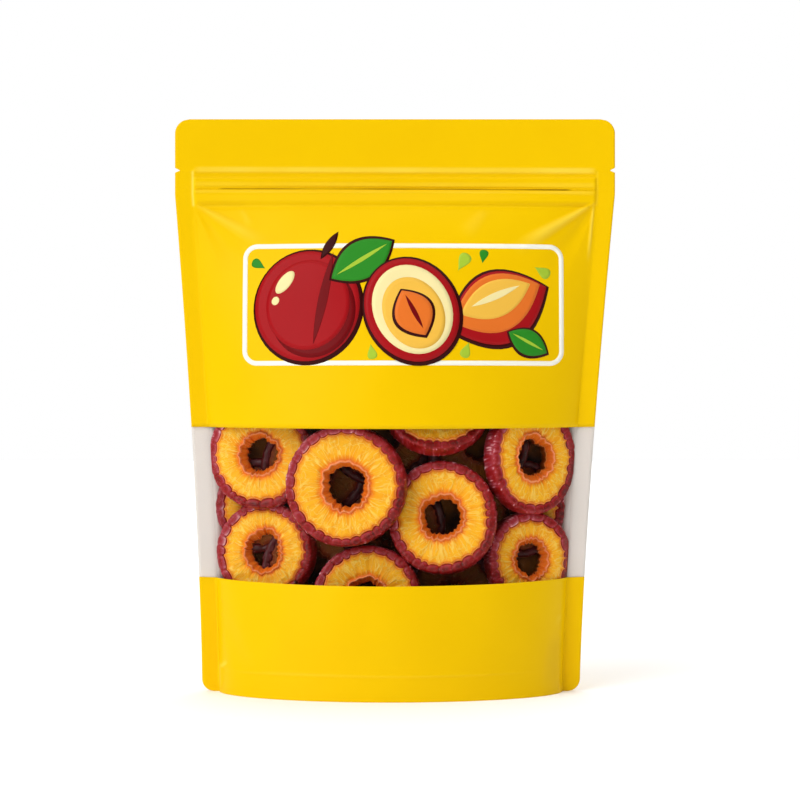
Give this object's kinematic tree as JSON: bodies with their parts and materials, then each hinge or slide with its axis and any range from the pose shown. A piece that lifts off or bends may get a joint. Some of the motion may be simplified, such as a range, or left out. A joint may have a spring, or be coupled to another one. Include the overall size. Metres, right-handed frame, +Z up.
{
  "type": "stand-up pouch of dried plum rings",
  "caption": "Filled stand-up pouch in yellow film: flat side seals, zip ridge, tear notches, gusset base and a clear band showing dried plum rings.",
  "frame": {"origin": "on the floor under the middle of the pouch", "axes": "+Z up along the pouch, +Y from the front panel to the back panel, +X to the viewer's right of the front"},
  "size_m": [0.1506, 0.063, 0.1957],
  "materials": {
    "printed_film": "satin yellow printed laminate",
    "clear_film": "clear glossy film",
    "plum_flesh": "moist amber dried flesh",
    "plum_skin": "wet-looking burgundy skin",
    "white_film": "white inner face of the laminate",
    "print_ink": "printed ink fields"
  },
  "bodies": {
    "root": {"pouch_body": "printed_film", "window_film": "clear_film", "plum_rings": "plum_flesh"}
  },
  "joints": []
}
